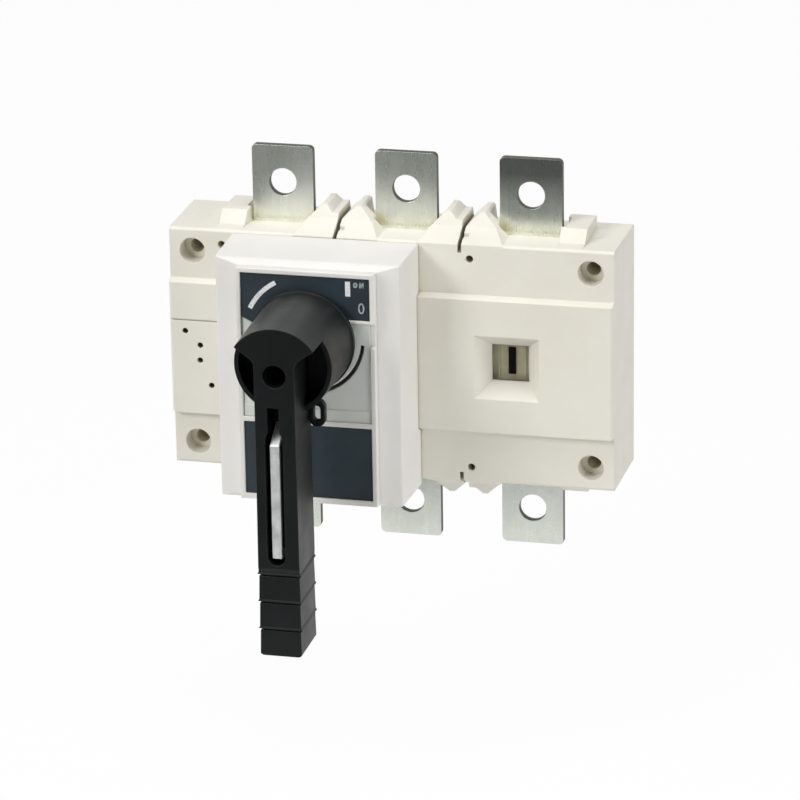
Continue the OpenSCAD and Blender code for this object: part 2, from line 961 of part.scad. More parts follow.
// One step at the end of the grip: it widens downwards, and a lip may end it
module grip_step(start, lip) {
    half = grip_w / 2;
    finish = start - step_l;
    top = start - groove_w;
    low = finish + lip_l;
    side = lip_h;
    low_side = lip_h - lip;
    top_side = lip_h + step_h;
    intersection() {
        from_depth(grip_back, hub_front)
            polygon([
                [low_side - half, finish],
                [side - half, low],
                [top_side - half, top],
                [half - top_side, top],
                [half - side, low],
                [half - low_side, finish]
            ]);
        along_x(grip_w + over)
            polygon([
                [grip_back + low_side, finish],
                [grip_back + side, low],
                [grip_back + top_side, top],
                [hub_front - top_side, top],
                [hub_front - side, low],
                [hub_front - low_side, finish]
            ]);
    }
}

// Shank from the hub to the steps: straight beside the hub, then wider, with a lip at its end
module grip_shank() {
    half = grip_w / 2;
    beside = shank_w / 2;
    low = steps_z + lip_l;
    valley = low + 2 * lip_l;
    intersection() {
        from_depth(grip_back, hub_front)
            polygon([
                [-beside, 0],
                [beside, 0],
                [beside, -hub_back_r - eye_h],
                [half - lip_h, low],
                [half, steps_z],
                [-half, steps_z],
                [lip_h - half, low],
                [-beside, -hub_back_r - eye_h]
            ]);
        along_x(grip_w + over)
            polygon([
                [grip_back, 0],
                [hub_front, 0],
                [hub_front, valley],
                [hub_front - lip_h, low],
                [hub_front, steps_z],
                [grip_back, steps_z],
                [grip_back + lip_h, low],
                [grip_back, valley]
            ]);
    }
}

// Grip from the hub to its end: the shank, and the steps on a thinner core
module grip_blank() {
    half = grip_w / 2;
    core = half - groove_depth;
    intersection() {
        union() {
            grip_shank();
            from_depth(grip_back + groove_depth, hub_front - groove_depth)
                rect(-core, -grip_reach, core, steps_z);
            for (i = [0:steps - 2]) {
                grip_step(steps_z - i * step_l, lip_h);
            }
            grip_step(step_l - grip_reach, 0);
        }
        from_depth(grip_back, hub_front)
            round_rect(-half, -grip_reach, half, grip_w, grip_corner_r);
    }
}

// Hub and grip in one moulding
module handle_body() {
    color(black)
    at_handle()
    difference() {
        union() {
            difference() {
                hub_cone(0, hub_back, hub_front);
                for (side = [0, 1]) {
                    mirror([side, 0, 0]) {
                        from_depth(hub_front - scoop_depth, hub_front + over)
                            scoop_shape();
                        intersection() {
                            hub_cone(hub_wall, hub_front - hollow_depth, hub_front);
                            from_depth(hub_front - hollow_depth, hub_front)
                                scoop_shape();
                        }
                    }
                }
            }
            rod(0, 0, 2 * hub_back_r, hub_back, hub_back + hub_rim_l);
            grip_blank();
        }
        bar_slot();
        rod(0, 0, screw_recess_d, screw_seat - screw_head_h, hub_front + over);
        rod(0, 0, shaft_d + 2 * shaft_clear, hub_back - over, shaft_front);
    }
}

// Slot in the grip's face for the padlock bar
module bar_slot() {
    wide_l = bar_slot_l - neck_l;
    neck_x = neck_w / 2;
    wide_top = -bar_slot_start - neck_l;
    from_depth(hub_front - bar_slot_depth, hub_front + over) {
        translate([-bar_side, wide_top - wide_l / 2])
            slot_shape(bar_slot_w, wide_l);
        rect(-bar_side - neck_x, wide_top - bar_slot_w / 2, neck_x - bar_side, -bar_slot_start);
    }
}

// Bent steel bar: a long straight face with both ends turned in to the floor of the slot
module padlock_bar() {
    top = -bar_slot_start - bar_top_gap;
    bottom = bar_end_gap - bar_slot_start - bar_slot_l;
    face = hub_front - bar_inset;
    floor_d = hub_front - bar_slot_depth;
    color(steel)
    at_handle()
    translate([-bar_side, 0, 0])
        along_x(bar_w)
            polygon([
                [floor_d, top],
                [face, top - bar_top_run],
                [face, bottom + bar_end_run],
                [floor_d, bottom],
                [floor_d, bottom + bar_t],
                [face - bar_t, bottom + bar_end_run + bar_t / 2],
                [face - bar_t, top - bar_top_run - bar_t / 2],
                [floor_d, top - bar_t]
            ]);
}

// Eye below the hub, beside the grip, that takes a padlock's shackle
module padlock_eye() {
    eye_x = shank_w / 2 + eye_w / 2;
    eye_z = -hub_back_r - play;
    depth = grip_back + eye_inset;
    color(black)
    at_handle()
    difference() {
        translate([eye_x, 0, eye_z])
            from_depth(depth, depth + eye_t)
            difference() {
                union() {
                    slot_shape(eye_w, eye_h);
                    rect(-eye_w / 2, -eye_h / 4, 0, eye_h / 2);
                }
                slot_shape(eye_hole_w, eye_hole_h);
            }
        hub_cone(0, hub_back, hub_front);
    }
}

module handle_screw() {
    color("DimGray")
    at_handle()
    difference() {
        union() {
            rod(0, 0, screw_head_d, shaft_front, screw_seat);
            rod(0, 0, screw_d, shaft_front - 2 * screw_d, shaft_front);
        }
        translate([0, -screw_seat + screw_head_h / 2, 0])
            rotate([90, 0, 0])
                cylinder(h = screw_head_h, d = screw_key / cos(30), $fn = 6);
    }
}

case_base();
case_cover();
terminal(poles[0]);  // top_terminal_left
terminal(poles[1]);  // top_terminal_middle
terminal(poles[2]);  // top_terminal_right
bottom_terminal(poles[0]);  // bottom_terminal_left
bottom_terminal(poles[1]);  // bottom_terminal_middle
bottom_terminal(poles[2]);  // bottom_terminal_right
window_lens();
indicator_carrier();
indicator_flag();
mechanism_housing();
front_plate();
middle_panel();
upper_label();
lower_label();
shaft_bush();
drive_shaft();
handle_body();
handle_screw();
padlock_bar();
padlock_eye();
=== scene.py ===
# Dresses the three-pole isolator switch: finishes for every moulding, soft edges,
# the printed marks on its labels, and a plain studio round it. All lengths are in metres.
import json
import math

import bmesh
import bpy
from mathutils import Matrix, Vector


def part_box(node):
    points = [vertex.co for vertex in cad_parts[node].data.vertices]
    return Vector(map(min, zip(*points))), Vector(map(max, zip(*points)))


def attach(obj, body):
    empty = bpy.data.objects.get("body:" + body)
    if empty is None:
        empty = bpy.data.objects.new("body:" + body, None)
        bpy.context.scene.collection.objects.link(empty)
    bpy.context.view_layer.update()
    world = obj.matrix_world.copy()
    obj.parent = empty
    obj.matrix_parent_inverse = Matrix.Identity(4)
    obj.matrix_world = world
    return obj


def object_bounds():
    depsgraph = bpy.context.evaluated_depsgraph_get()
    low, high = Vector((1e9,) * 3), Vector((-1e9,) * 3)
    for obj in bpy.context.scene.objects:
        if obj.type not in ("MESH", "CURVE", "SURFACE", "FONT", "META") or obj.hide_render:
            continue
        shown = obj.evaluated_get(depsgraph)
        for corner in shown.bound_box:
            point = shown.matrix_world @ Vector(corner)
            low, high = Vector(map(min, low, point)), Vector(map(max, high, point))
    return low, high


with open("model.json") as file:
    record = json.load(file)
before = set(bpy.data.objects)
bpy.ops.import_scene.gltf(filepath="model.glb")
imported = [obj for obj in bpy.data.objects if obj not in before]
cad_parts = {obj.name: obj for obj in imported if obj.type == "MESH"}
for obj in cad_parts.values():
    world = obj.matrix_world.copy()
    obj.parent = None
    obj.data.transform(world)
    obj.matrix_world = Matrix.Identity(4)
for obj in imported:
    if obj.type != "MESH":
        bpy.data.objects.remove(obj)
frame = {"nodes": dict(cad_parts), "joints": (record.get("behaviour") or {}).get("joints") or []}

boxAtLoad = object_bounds()
mm = 0.001
print("frame loaded:", len(frame["nodes"]), "pieces")


# small tools that the finishes share
def tint(red, green, blue):
    # screen colour (0 to 255) to the linear value that a socket takes
    def one(level):
        level = level / 255
        return level / 12.92 if level <= 0.04045 else ((level + 0.055) / 1.055) ** 2.4
    return (one(red), one(green), one(blue), 1)


def startMaterial(name):
    material = bpy.data.materials.new(name)
    material.use_nodes = True
    nodes = material.node_tree.nodes
    shader = nodes["Principled BSDF"]
    place = nodes.new("ShaderNodeTexCoord")
    place.name = "place"
    return material, material.node_tree, shader, place.outputs["Object"]


def stretched(tree, coords, scale):
    mapping = tree.nodes.new("ShaderNodeMapping")
    mapping.inputs["Scale"].default_value = scale
    tree.links.new(coords, mapping.inputs["Vector"])
    return mapping.outputs["Vector"]


def noise(tree, coords, scale, detail=3, roughness=0.5):
    node = tree.nodes.new("ShaderNodeTexNoise")
    node.inputs["Scale"].default_value = scale
    node.inputs["Detail"].default_value = detail
    node.inputs["Roughness"].default_value = roughness
    tree.links.new(coords, node.inputs["Vector"])
    return node.outputs["Fac"]


def remap(tree, value, fromLow, fromHigh, toLow, toHigh):
    node = tree.nodes.new("ShaderNodeMapRange")
    for name, number in (("From Min", fromLow), ("From Max", fromHigh),
                         ("To Min", toLow), ("To Max", toHigh)):
        node.inputs[name].default_value = number
    tree.links.new(value, node.inputs["Value"])
    return node.outputs["Result"]


def blendColours(tree, amount, low, high):
    # low and high are colours, or outputs of earlier nodes
    node = tree.nodes.new("ShaderNodeMix")
    node.data_type = "RGBA"
    tree.links.new(amount, node.inputs["Factor"])
    for socket, colour in ((node.inputs[6], low), (node.inputs[7], high)):
        if isinstance(colour, tuple):
            socket.default_value = colour
        else:
            tree.links.new(colour, socket)
    return node.outputs[2]


def edgeMask(tree, radius, strength):
    # 1 on rounded outer edges, 0 on flats, for edge wear and the painted edge highlight; the rounded normals
    # come with it
    rounding = tree.nodes.new("ShaderNodeBevel")
    rounding.samples = 4
    rounding.inputs["Radius"].default_value = radius
    flat = tree.nodes.new("ShaderNodeNewGeometry")
    dot = tree.nodes.new("ShaderNodeVectorMath")
    dot.operation = "DOT_PRODUCT"
    tree.links.new(rounding.outputs["Normal"], dot.inputs[0])
    tree.links.new(flat.outputs["Normal"], dot.inputs[1])
    mask = remap(tree, dot.outputs["Value"], 1.0, 0.8, 0.0, strength)
    return mask, rounding.outputs["Normal"]


def hollowMask(tree, reach, strength, openness=0.55, deep=0.05):
    # 1 deep in corners and holes, 0 in the open: where the painted shade goes; openness and deep are shares
    # of open sky
    shade = tree.nodes.new("ShaderNodeAmbientOcclusion")
    shade.samples = 6
    shade.inputs["Distance"].default_value = reach
    return remap(tree, shade.outputs["AO"], openness, deep, 0.0, strength)


def addGrain(tree, shader, height, strength, depth, under=None):
    bump = tree.nodes.new("ShaderNodeBump")
    bump.inputs["Strength"].default_value = strength
    bump.inputs["Distance"].default_value = depth
    tree.links.new(height, bump.inputs["Height"])
    if under:
        tree.links.new(under, bump.inputs["Normal"])
    tree.links.new(bump.outputs["Normal"], shader.inputs["Normal"])


# the finishes, with the colours of each as they look on a screen
moulding = {
    "cloudSize": 22,                  # sizes of patterns are in repeats per metre
    "speckSize": 420,
    "sheenSize": 60,
    "cornerReach": 6 * mm,            # how far corners and recesses take the painted shade colour
    "holeReach": 3 * mm,              # how far the painted shade of narrow holes reaches; wider than the narrow holes and slits
    "edgeRadius": 0.6 * mm,
    "edgeWearAndHighlight": 0.7,
    "density": 1.48,                  # index of refraction
    "milky": 0.12,                    # light that spreads inside the plastic
    "spread": (1.6 * mm, 1.2 * mm, 0.7 * mm),
    "grainStrength": 0.35,
}

casePlastic = {
    "body": tint(233, 230, 220),      # warm cream thermoset
    "patch": tint(227, 223, 211),     # slow change of colour across the moulding
    "hollow": tint(250, 238, 202),    # painted shade, tan for the light that bounces about in the screw holes
    "paintedPinholeShade": tint(104, 99, 88),     # painted shade: narrow holes and slits are painted dark
    # the worn edge colour is partly real wear and partly a painted highlight
    "worn": tint(236, 233, 224),
    "grainSize": 900,
    "grainDepth": 0.05 * mm,
    "gloss": 0.47,
}

housingPlastic = {
    "body": tint(236, 234, 230),      # whiter than the case
    "patch": tint(230, 228, 223),
    # painted shade in corners and recesses, darker still in narrow holes and slits
    "hollow": tint(206, 200, 184),
    "paintedPinholeShade": tint(120, 116, 104),
    # the worn edge colour is partly real wear and partly a painted highlight
    "worn": tint(242, 241, 238),
    "grainSize": 1100,
    "grainDepth": 0.04 * mm,
    "gloss": 0.42,
}

panelPlastic = {
    "body": tint(224, 227, 221),      # white panel behind the handle, painted a little grey-green for the handle's shade on it
    "patch": tint(214, 218, 212),
    # painted shade in corners, the curved slot and narrow holes
    "hollow": tint(120, 122, 116),
    "paintedPinholeShade": tint(58, 59, 56),
    # the worn edge colour is partly real wear and partly a painted highlight
    "worn": tint(238, 240, 236),
    "grainSize": 1300,
    "grainDepth": 0.03 * mm,
    "gloss": 0.4,
}


def mouldedPlastic(name, look):
    material, tree, shader, coords = startMaterial(name)
    slow = remap(tree, noise(tree, coords, moulding["cloudSize"], 4, 0.6), 0.35, 0.7, 0, 1)
    colour = blendColours(tree, slow, look["body"], look["patch"])
    speck = remap(tree, noise(tree, coords, moulding["speckSize"], 2), 0.62, 0.78, 0, 0.25)
    colour = blendColours(tree, speck, colour, look["patch"])
    # painted shade: corners and recesses take one painted shade colour, narrow holes and slits a darker one
    corners = hollowMask(tree, moulding["cornerReach"], 0.9)
    colour = blendColours(tree, corners, colour, look["hollow"])
    narrow = hollowMask(tree, moulding["holeReach"], 1.0, 0.42, 0.26)
    colour = blendColours(tree, narrow, colour, look["paintedPinholeShade"])
    # edge wear and painted highlight: the edges take the worn colour
    worn, rounded = edgeMask(tree, moulding["edgeRadius"], moulding["edgeWearAndHighlight"])
    colour = blendColours(tree, worn, colour, look["worn"])
    tree.links.new(colour, shader.inputs["Base Color"])
    uneven = noise(tree, coords, moulding["sheenSize"], 3)
    sheen = remap(tree, uneven, 0.3, 0.7, look["gloss"] - 0.05, look["gloss"] + 0.07)
    tree.links.new(sheen, shader.inputs["Roughness"])
    shader.inputs["IOR"].default_value = moulding["density"]
    shader.inputs["Subsurface Weight"].default_value = moulding["milky"]
    shader.inputs["Subsurface Radius"].default_value = moulding["spread"]
    shader.inputs["Subsurface Scale"].default_value = 1.0
    grain = noise(tree, coords, look["grainSize"], 3, 0.6)
    addGrain(tree, shader, grain, moulding["grainStrength"], look["grainDepth"], rounded)
    return material


handlePlastic = {
    "body": tint(17, 19, 20),
    "patch": tint(13, 15, 16),
    # the worn colour on the black edges is a painted highlight, partly real wear
    "worn": tint(64, 68, 70),
    # painted shade deep in the handle's corners, recesses and slot
    "hollow": tint(3, 2, 3),
    "cloudSize": 35,
    "rubSize": 80,
    "hollowReach": 8 * mm,
    "edgeRadius": 0.5 * mm,
    "edgeWearAndHighlight": 0.35,
    "rough": (0.36, 0.48),
    "density": 1.46,
    "shine": 0.36,
    "grainSize": 1500,
    "grainDepth": 0.06 * mm,
}


def blackHandlePlastic():
    look = handlePlastic
    material, tree, shader, coords = startMaterial("handle_black")
    slow = remap(tree, noise(tree, coords, look["cloudSize"], 4, 0.6), 0.35, 0.7, 0, 1)
    colour = blendColours(tree, slow, look["body"], look["patch"])
    # painted shade: corners and recesses of the handle take a near-black colour
    colour = blendColours(tree, hollowMask(tree, look["hollowReach"], 0.8), colour, look["hollow"])
    # edge wear and painted highlight: the edges take the worn colour
    worn, rounded = edgeMask(tree, look["edgeRadius"], look["edgeWearAndHighlight"])
    colour = blendColours(tree, worn, colour, look["worn"])
    tree.links.new(colour, shader.inputs["Base Color"])
    rubbed = remap(tree, noise(tree, coords, look["rubSize"], 4), 0.3, 0.7, *look["rough"])
    tree.links.new(rubbed, shader.inputs["Roughness"])
    shader.inputs["IOR"].default_value = look["density"]
    shader.inputs["Specular IOR Level"].default_value = look["shine"]
    grain = noise(tree, coords, look["grainSize"], 3, 0.6)
    addGrain(tree, shader, grain, 0.5, look["grainDepth"], rounded)
    return material


labelFilm = {
    "navy": tint(54, 66, 73),
    "deep": tint(38, 49, 57),
    "dust": tint(84, 94, 102),
    "cloudSize": 30,
    "dustSize": 700,
    "smearSize": 45,
    "rough": (0.31, 0.44),
}


def navyLabelFilm():
    look = labelFilm
    material, tree, shader, coords = startMaterial("label_navy")
    cloudy = remap(tree, noise(tree, coords, look["cloudSize"], 4), 0.35, 0.7, 0, 1)
    colour = blendColours(tree, cloudy, look["navy"], look["deep"])
    dust = remap(tree, noise(tree, coords, look["dustSize"], 2), 0.66, 0.8, 0, 0.5)
    colour = blendColours(tree, dust, colour, look["dust"])
    tree.links.new(colour, shader.inputs["Base Color"])
    smear = remap(tree, noise(tree, coords, look["smearSize"], 3), 0.3, 0.7, *look["rough"])
    tree.links.new(smear, shader.inputs["Roughness"])
    addGrain(tree, shader, noise(tree, coords, 500, 2), 0.12, 0.03 * mm)
    return material


tinnedCopper = {
    "metal": tint(243, 246, 237),
    "dull": tint(226, 230, 219),
    "stain": tint(176, 176, 164),
    "paintedDarkReflection": tint(150, 154, 148),   # painted reflection: the tab at the upper right is painted darker above its foot, for the dark surroundings that it mirrors
    "paintedReflectionFrom": 3 * mm,            # measured up from the case
    "paintedReflectionFull": 15 * mm,
    "cut": tint(78, 80, 73),          # sheared edges and the walls of the holes
    "rough": (0.25, 0.31),
    "cutRough": 0.5,
    "drawnSize": 420,                 # fine lines along the strip
    "cloudSize": 60,
    "stainSize": 210,
    "grainDepth": 0.02 * mm,
}


def awayFromFront(tree, start, full):
    # 0 on flats that face the front or the back, 1 on faces that look up, down or sideways
    facing = tree.nodes.new("ShaderNodeSeparateXYZ")
    tree.links.new(tree.nodes["place"].outputs["Normal"], facing.inputs["Vector"])
    size = tree.nodes.new("ShaderNodeMath")
    size.operation = "ABSOLUTE"
    tree.links.new(facing.outputs["Y"], size.inputs[0])
    return remap(tree, size.outputs[0], start, full, 0, 1)


def mixNumbers(tree, amount, low, high):
    node = tree.nodes.new("ShaderNodeMix")
    tree.links.new(amount, node.inputs["Factor"])
    for socket, number in ((node.inputs[2], low), (node.inputs[3], high)):
        if isinstance(number, float):
            socket.default_value = number
        else:
            tree.links.new(number, socket)
    return node.outputs[0]


def tinnedTab(name, foot=None):
    # a foot height gives a tab with a painted dark reflection above it
    look = tinnedCopper
    material, tree, shader, coords = startMaterial(name)
    drawn = noise(tree, stretched(tree, coords, (1, 1, 0.12)), look["drawnSize"], 4, 0.6)
    cloud = remap(tree, noise(tree, coords, look["cloudSize"], 5, 0.6), 0.35, 0.7, 0, 1)
    colour = blendColours(tree, cloud, look["metal"], look["dull"])
    stain = remap(tree, noise(tree, coords, look["stainSize"], 4, 0.7), 0.6, 0.8, 0, 0.2)
    colour = blendColours(tree, stain, colour, look["stain"])
    if foot is not None:
        split = tree.nodes.new("ShaderNodeSeparateXYZ")
        tree.links.new(coords, split.inputs["Vector"])
        high = remap(tree, split.outputs["Z"], foot + look["paintedReflectionFrom"], foot + look["paintedReflectionFull"], 0, 1)
        # painted reflection: darker above the foot
        colour = blendColours(tree, high, colour, look["paintedDarkReflection"])
    sheared = awayFromFront(tree, 0.98, 0.75)
    colour = blendColours(tree, sheared, colour, look["cut"])
    tree.links.new(colour, shader.inputs["Base Color"])
    shader.inputs["Metallic"].default_value = 1
    rough = remap(tree, drawn, 0.3, 0.7, *look["rough"])
    tree.links.new(mixNumbers(tree, sheared, rough, look["cutRough"]), shader.inputs["Roughness"])
    addGrain(tree, shader, drawn, 0.05, look["grainDepth"])
    return material


brightSteel = {
    "metal": tint(244, 245, 244),
    "dull": tint(206, 208, 207),
    # painted shade: the handle screw is painted near black, for the shade deep in its recess
    "paintedShadeBlack": tint(20, 20, 21),
    "paintedShadeBlueBlack": tint(28, 29, 32),
    "drawnSize": 1400,
    "cloudSize": 160,
    "grainDepth": 0.04 * mm,
}


def steel(name, roughness, metallic, low, high):
    look = brightSteel
    material, tree, shader, coords = startMaterial(name)
    drawn = noise(tree, stretched(tree, coords, (1, 1, 0.08)), look["drawnSize"], 3, 0.6)
    cloud = remap(tree, noise(tree, coords, look["cloudSize"], 4), 0.4, 0.7, 0, 1)
    tree.links.new(blendColours(tree, cloud, look[low], look[high]), shader.inputs["Base Color"])
    shader.inputs["Metallic"].default_value = metallic
    shine = remap(tree, drawn, 0.3, 0.7, roughness - 0.06, roughness + 0.1)
    tree.links.new(shine, shader.inputs["Roughness"])
    addGrain(tree, shader, drawn, 0.3, look["grainDepth"])
    return material


indicatorPaint = {
    "ground": tint(190, 184, 168),
    "shade": tint(166, 160, 144),
    "bar": tint(1, 1, 1),
    "barWorn": tint(5, 4, 4),
    "groundRough": 0.5,
    "barRough": 0.6,
    "barShine": 0.08,
}


def carrierPlastic():
    look = indicatorPaint
    material, tree, shader, coords = startMaterial("indicator_grey")
    cloud = remap(tree, noise(tree, coords, 120, 4), 0.35, 0.7, 0, 1)
    tree.links.new(blendColours(tree, cloud, look["ground"], look["shade"]), shader.inputs["Base Color"])
    shader.inputs["Roughness"].default_value = look["groundRough"]
    addGrain(tree, shader, noise(tree, coords, 1200, 3), 0.3, 0.04 * mm)
    return material


def barPaint():
    look = indicatorPaint
    material, tree, shader, coords = startMaterial("indicator_bar")
    cloud = remap(tree, noise(tree, coords, 300, 3), 0.4, 0.7, 0, 0.4)
    tree.links.new(blendColours(tree, cloud, look["bar"], look["barWorn"]), shader.inputs["Base Color"])
    shader.inputs["Roughness"].default_value = look["barRough"]
    shader.inputs["Specular IOR Level"].default_value = look["barShine"]
    addGrain(tree, shader, noise(tree, coords, 1500, 2), 0.2, 0.03 * mm)
    return material


windowLens = {
    "tone": tint(238, 238, 228),
    "density": 1.12,        # a thin sheet, so its bending of light stays small
    "rough": (0.02, 0.1),
    "smearSize": 200,
}


def clearLens():
    look = windowLens
    material, tree, shader, coords = startMaterial("window_clear")
    shader.inputs["Base Color"].default_value = look["tone"]
    shader.inputs["Transmission Weight"].default_value = 1
    shader.inputs["IOR"].default_value = look["density"]
    smear = remap(tree, noise(tree, coords, look["smearSize"], 4), 0.35, 0.7, *look["rough"])
    tree.links.new(smear, shader.inputs["Roughness"])
    return material


ink = {
    "white": (tint(244, 245, 246), tint(206, 210, 214)),    # fresh, then worn
    "grey": (tint(176, 184, 186), tint(120, 130, 134)),
    "wornSize": 900,
    "rough": 0.45,
}


def printedInk(name, shade):
    look = ink
    material, tree, shader, coords = startMaterial(name)
    worn = remap(tree, noise(tree, coords, look["wornSize"], 3), 0.5, 0.75, 0, 1)
    tree.links.new(blendColours(tree, worn, *look[shade]), shader.inputs["Base Color"])
    shader.inputs["Roughness"].default_value = look["rough"]
    addGrain(tree, shader, noise(tree, coords, 1600, 2), 0.2, 0.02 * mm)
    return material


creamCase = mouldedPlastic("case_plastic", casePlastic)
whiteHousing = mouldedPlastic("housing_plastic", housingPlastic)
# the panel's grey-green tone is painted shade
panelWithPaintedShade = mouldedPlastic("panel_plastic", panelPlastic)
blackPlastic = blackHandlePlastic()
navyFilm = navyLabelFilm()
tinPlate = tinnedTab("terminal_tin")
# the terminal at the upper right gets a painted dark reflection
tinPaintedReflection = tinnedTab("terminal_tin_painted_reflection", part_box("case_base")[1].z)
barSteel = steel("bar_steel", 0.4, 0.6, "metal", "dull")
shaftSteel = steel("shaft_steel", 0.4, 0.9, "dull", "metal")
# the screw's near black is painted shade
screwSteel = steel("screw_steel", 0.5, 0.9, "paintedShadeBlack", "paintedShadeBlueBlack")
carrierGrey = carrierPlastic()
flagBlack = barPaint()
lensClear = clearLens()
inkWhite = printedInk("ink_white", "white")
inkGrey = printedInk("ink_grey", "grey")
print("finishes made")


# each CAD piece: its finish, the width of its rounded edges, and whether that width
# gives way where edges lie close together
dressing = {
    "case_base": (creamCase, 0.3 * mm, False),
    "case_cover": (creamCase, 0.3 * mm, True),
    "mechanism_housing": (whiteHousing, 0.6 * mm, False),
    "front_plate": (whiteHousing, 0.3 * mm, False),
    "middle_panel": (panelWithPaintedShade, 0.15 * mm, True),
    "upper_label": (navyFilm, 0.12 * mm, True),
    "lower_label": (navyFilm, 0.12 * mm, True),
    "window_lens": (lensClear, 0.1 * mm, True),
    "indicator_carrier": (carrierGrey, 0.1 * mm, True),
    "indicator_flag": (flagBlack, 0.15 * mm, True),
    "shaft_bush": (blackPlastic, 0.3 * mm, False),
    "drive_shaft": (shaftSteel, 0.3 * mm, False),
    "handle_body": (blackPlastic, 0.08 * mm, False),
    "handle_screw": (screwSteel, 0.2 * mm, True),
    "padlock_bar": (barSteel, 0.5 * mm, False),
    "padlock_eye": (blackPlastic, 0.5 * mm, True),
}
for row in ("top", "bottom"):
    for pole in ("left", "middle", "right"):
        tin = tinPaintedReflection if (row, pole) == ("top", "right") else tinPlate
        dressing[f"{row}_terminal_{pole}"] = (tin, 0.25 * mm, False)


def smoothGroup():
    # geometry nodes that shade every face smooth
    group = bpy.data.node_groups.new("all faces smooth", "GeometryNodeTree")
    group.interface.new_socket("Geometry", in_out="INPUT", socket_type="NodeSocketGeometry")
    group.interface.new_socket("Geometry", in_out="OUTPUT", socket_type="NodeSocketGeometry")
    start = group.nodes.new("NodeGroupInput")
    smooth = group.nodes.new("GeometryNodeSetShadeSmooth")
    finish = group.nodes.new("NodeGroupOutput")
    group.links.new(start.outputs[0], smooth.inputs["Geometry"])
    group.links.new(smooth.outputs[0], finish.inputs[0])
    return group


allSmooth = smoothGroup()

softEdge = {
    "weldLoose": 0.05 * mm,     # points closer than this are joined
    "weldTight": 0.001 * mm,
    "flatWithin": 0.3,          # degrees
    "sharpFrom": 12,            # degrees: above the steps of the round faces, below every real edge
    "segments": 2,
}


def softenEdges(piece, width, giveWay):
    weld = piece.modifiers.new("weld", "WELD")
    weld.merge_threshold = softEdge["weldLoose"] if giveWay else softEdge["weldTight"]
    flat = piece.modifiers.new("one face for each flat", "DECIMATE")
    flat.decimate_type = "DISSOLVE"
    flat.angle_limit = math.radians(softEdge["flatWithin"])
    smooth = piece.modifiers.new("smooth faces", "NODES")
    smooth.node_group = allSmooth
    bevel = piece.modifiers.new("soft edges", "BEVEL")
    bevel.width = width
    bevel.segments = softEdge["segments"]
    bevel.limit_method = "ANGLE"
    bevel.angle_limit = math.radians(softEdge["sharpFrom"])
    bevel.use_clamp_overlap = giveWay
    bevel.loop_slide = False
    weighted = piece.modifiers.new("flat faces stay flat", "WEIGHTED_NORMAL")
    weighted.weight = 90


for name, (finish, width, giveWay) in dressing.items():
    piece = frame["nodes"][name]
    piece.data.materials.clear()
    piece.data.materials.append(finish)
    softenEdges(piece, width, giveWay)
print("pieces dressed:", len(dressing))


# the printed marks on the upper label
axis = Vector(frame["joints"][0]["pos_m"])   # the handle turns about this point
handleCentre = Vector((axis.x, axis.z))

marks = {
    "height": 0.06 * mm,    # how far the ink stands proud
    "steps": 24,            # straight pieces in a curved mark
    "letterSteps": 20,
    "arcRadius": 24.5 * mm,
    "arcWidth": 1.8 * mm,
    "arcFrom": 118.6,       # degrees, turning up from the right
    "arcTo": 154.4,
    # each place is across and up from the handle's axis, to the middle of the mark
    "onBar": (17.05 * mm, 20.7 * mm),
    "onBarSize": (2.0 * mm, 6.0 * mm),
    "onWord": (21.3 * mm, 22.4 * mm),
    "letterSize": (1.75 * mm, 2.2 * mm),
    "letterGap": 0.7,       # half the step from letter to letter, in letter widths
    "offRing": (22.3 * mm, 13.1 * mm),
    "offRingSize": (2.5 * mm, 4.4 * mm),
    "stroke": 0.58 * mm,
}

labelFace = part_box("upper_label")[0].y
inkBack = labelFace + marks["height"] / 2
inkFront = labelFace - marks["height"]


def addFlat(bm, outline):
    # a thin prism from an outline of (across, up) points
    lower = [bm.verts.new((x, inkBack, z)) for x, z in outline]
    upper = [bm.verts.new((x, inkFront, z)) for x, z in outline]
    bm.faces.new(lower)
    bm.faces.new(list(reversed(upper)))
    count = len(outline)
    for i in range(count):
        j = (i + 1) % count
        bm.faces.new((lower[i], upper[i], upper[j], lower[j]))


def addArcBand(bm, middle, radii, width, start, finish, steps):
    # a band along part of an ellipse, made of short prisms that share their ends
    rings = []
    for i in range(steps + 1):
        turn = math.radians(start + (finish - start) * i / steps)
        ring = []
        for side in (-0.5, 0.5):
            across = middle[0] + (radii[0] + side * width) * math.cos(turn)
            up = middle[1] + (radii[1] + side * width) * math.sin(turn)
            ring.append(bm.verts.new((across, inkBack, up)))
            ring.append(bm.verts.new((across, inkFront, up)))
        rings.append(ring)
    closed = abs(finish - start) >= 360
    for i in range(steps):
        a = rings[i]
        b = rings[(i + 1) % steps] if closed and i == steps - 1 else rings[i + 1]
        for p, q in ((0, 1), (1, 3), (3, 2), (2, 0)):
            bm.faces.new((a[p], a[q], b[q], b[p]))
    if closed:
        for vert in rings[-1]:
            bm.verts.remove(vert)
    else:
        bm.faces.new((rings[0][0], rings[0][1], rings[0][3], rings[0][2]))
        bm.faces.new((rings[-1][2], rings[-1][3], rings[-1][1], rings[-1][0]))


def addRing(bm, middle, size, steps):
    # a closed oval band, measured over its outside
    stroke = marks["stroke"]
    radii = (size[0] / 2 - stroke / 2, size[1] / 2 - stroke / 2)
    addArcBand(bm, middle, radii, stroke, 0, 360, steps)


def strokeOutline(start, finish, width):
    along = (finish - start).normalized()
    side = Vector((-along.y, along.x)) * width / 2
    return [tuple(start + side), tuple(start - side), tuple(finish - side), tuple(finish + side)]


def finishMark(name, bm, finish):
    bmesh.ops.recalc_face_normals(bm, faces=bm.faces)
    mesh = bpy.data.meshes.new(name)
    bm.to_mesh(mesh)
    bm.free()
    mesh.materials.append(finish)
    mark = bpy.data.objects.new(name, mesh)
    bpy.context.scene.collection.objects.link(mark)
    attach(mark, "case")


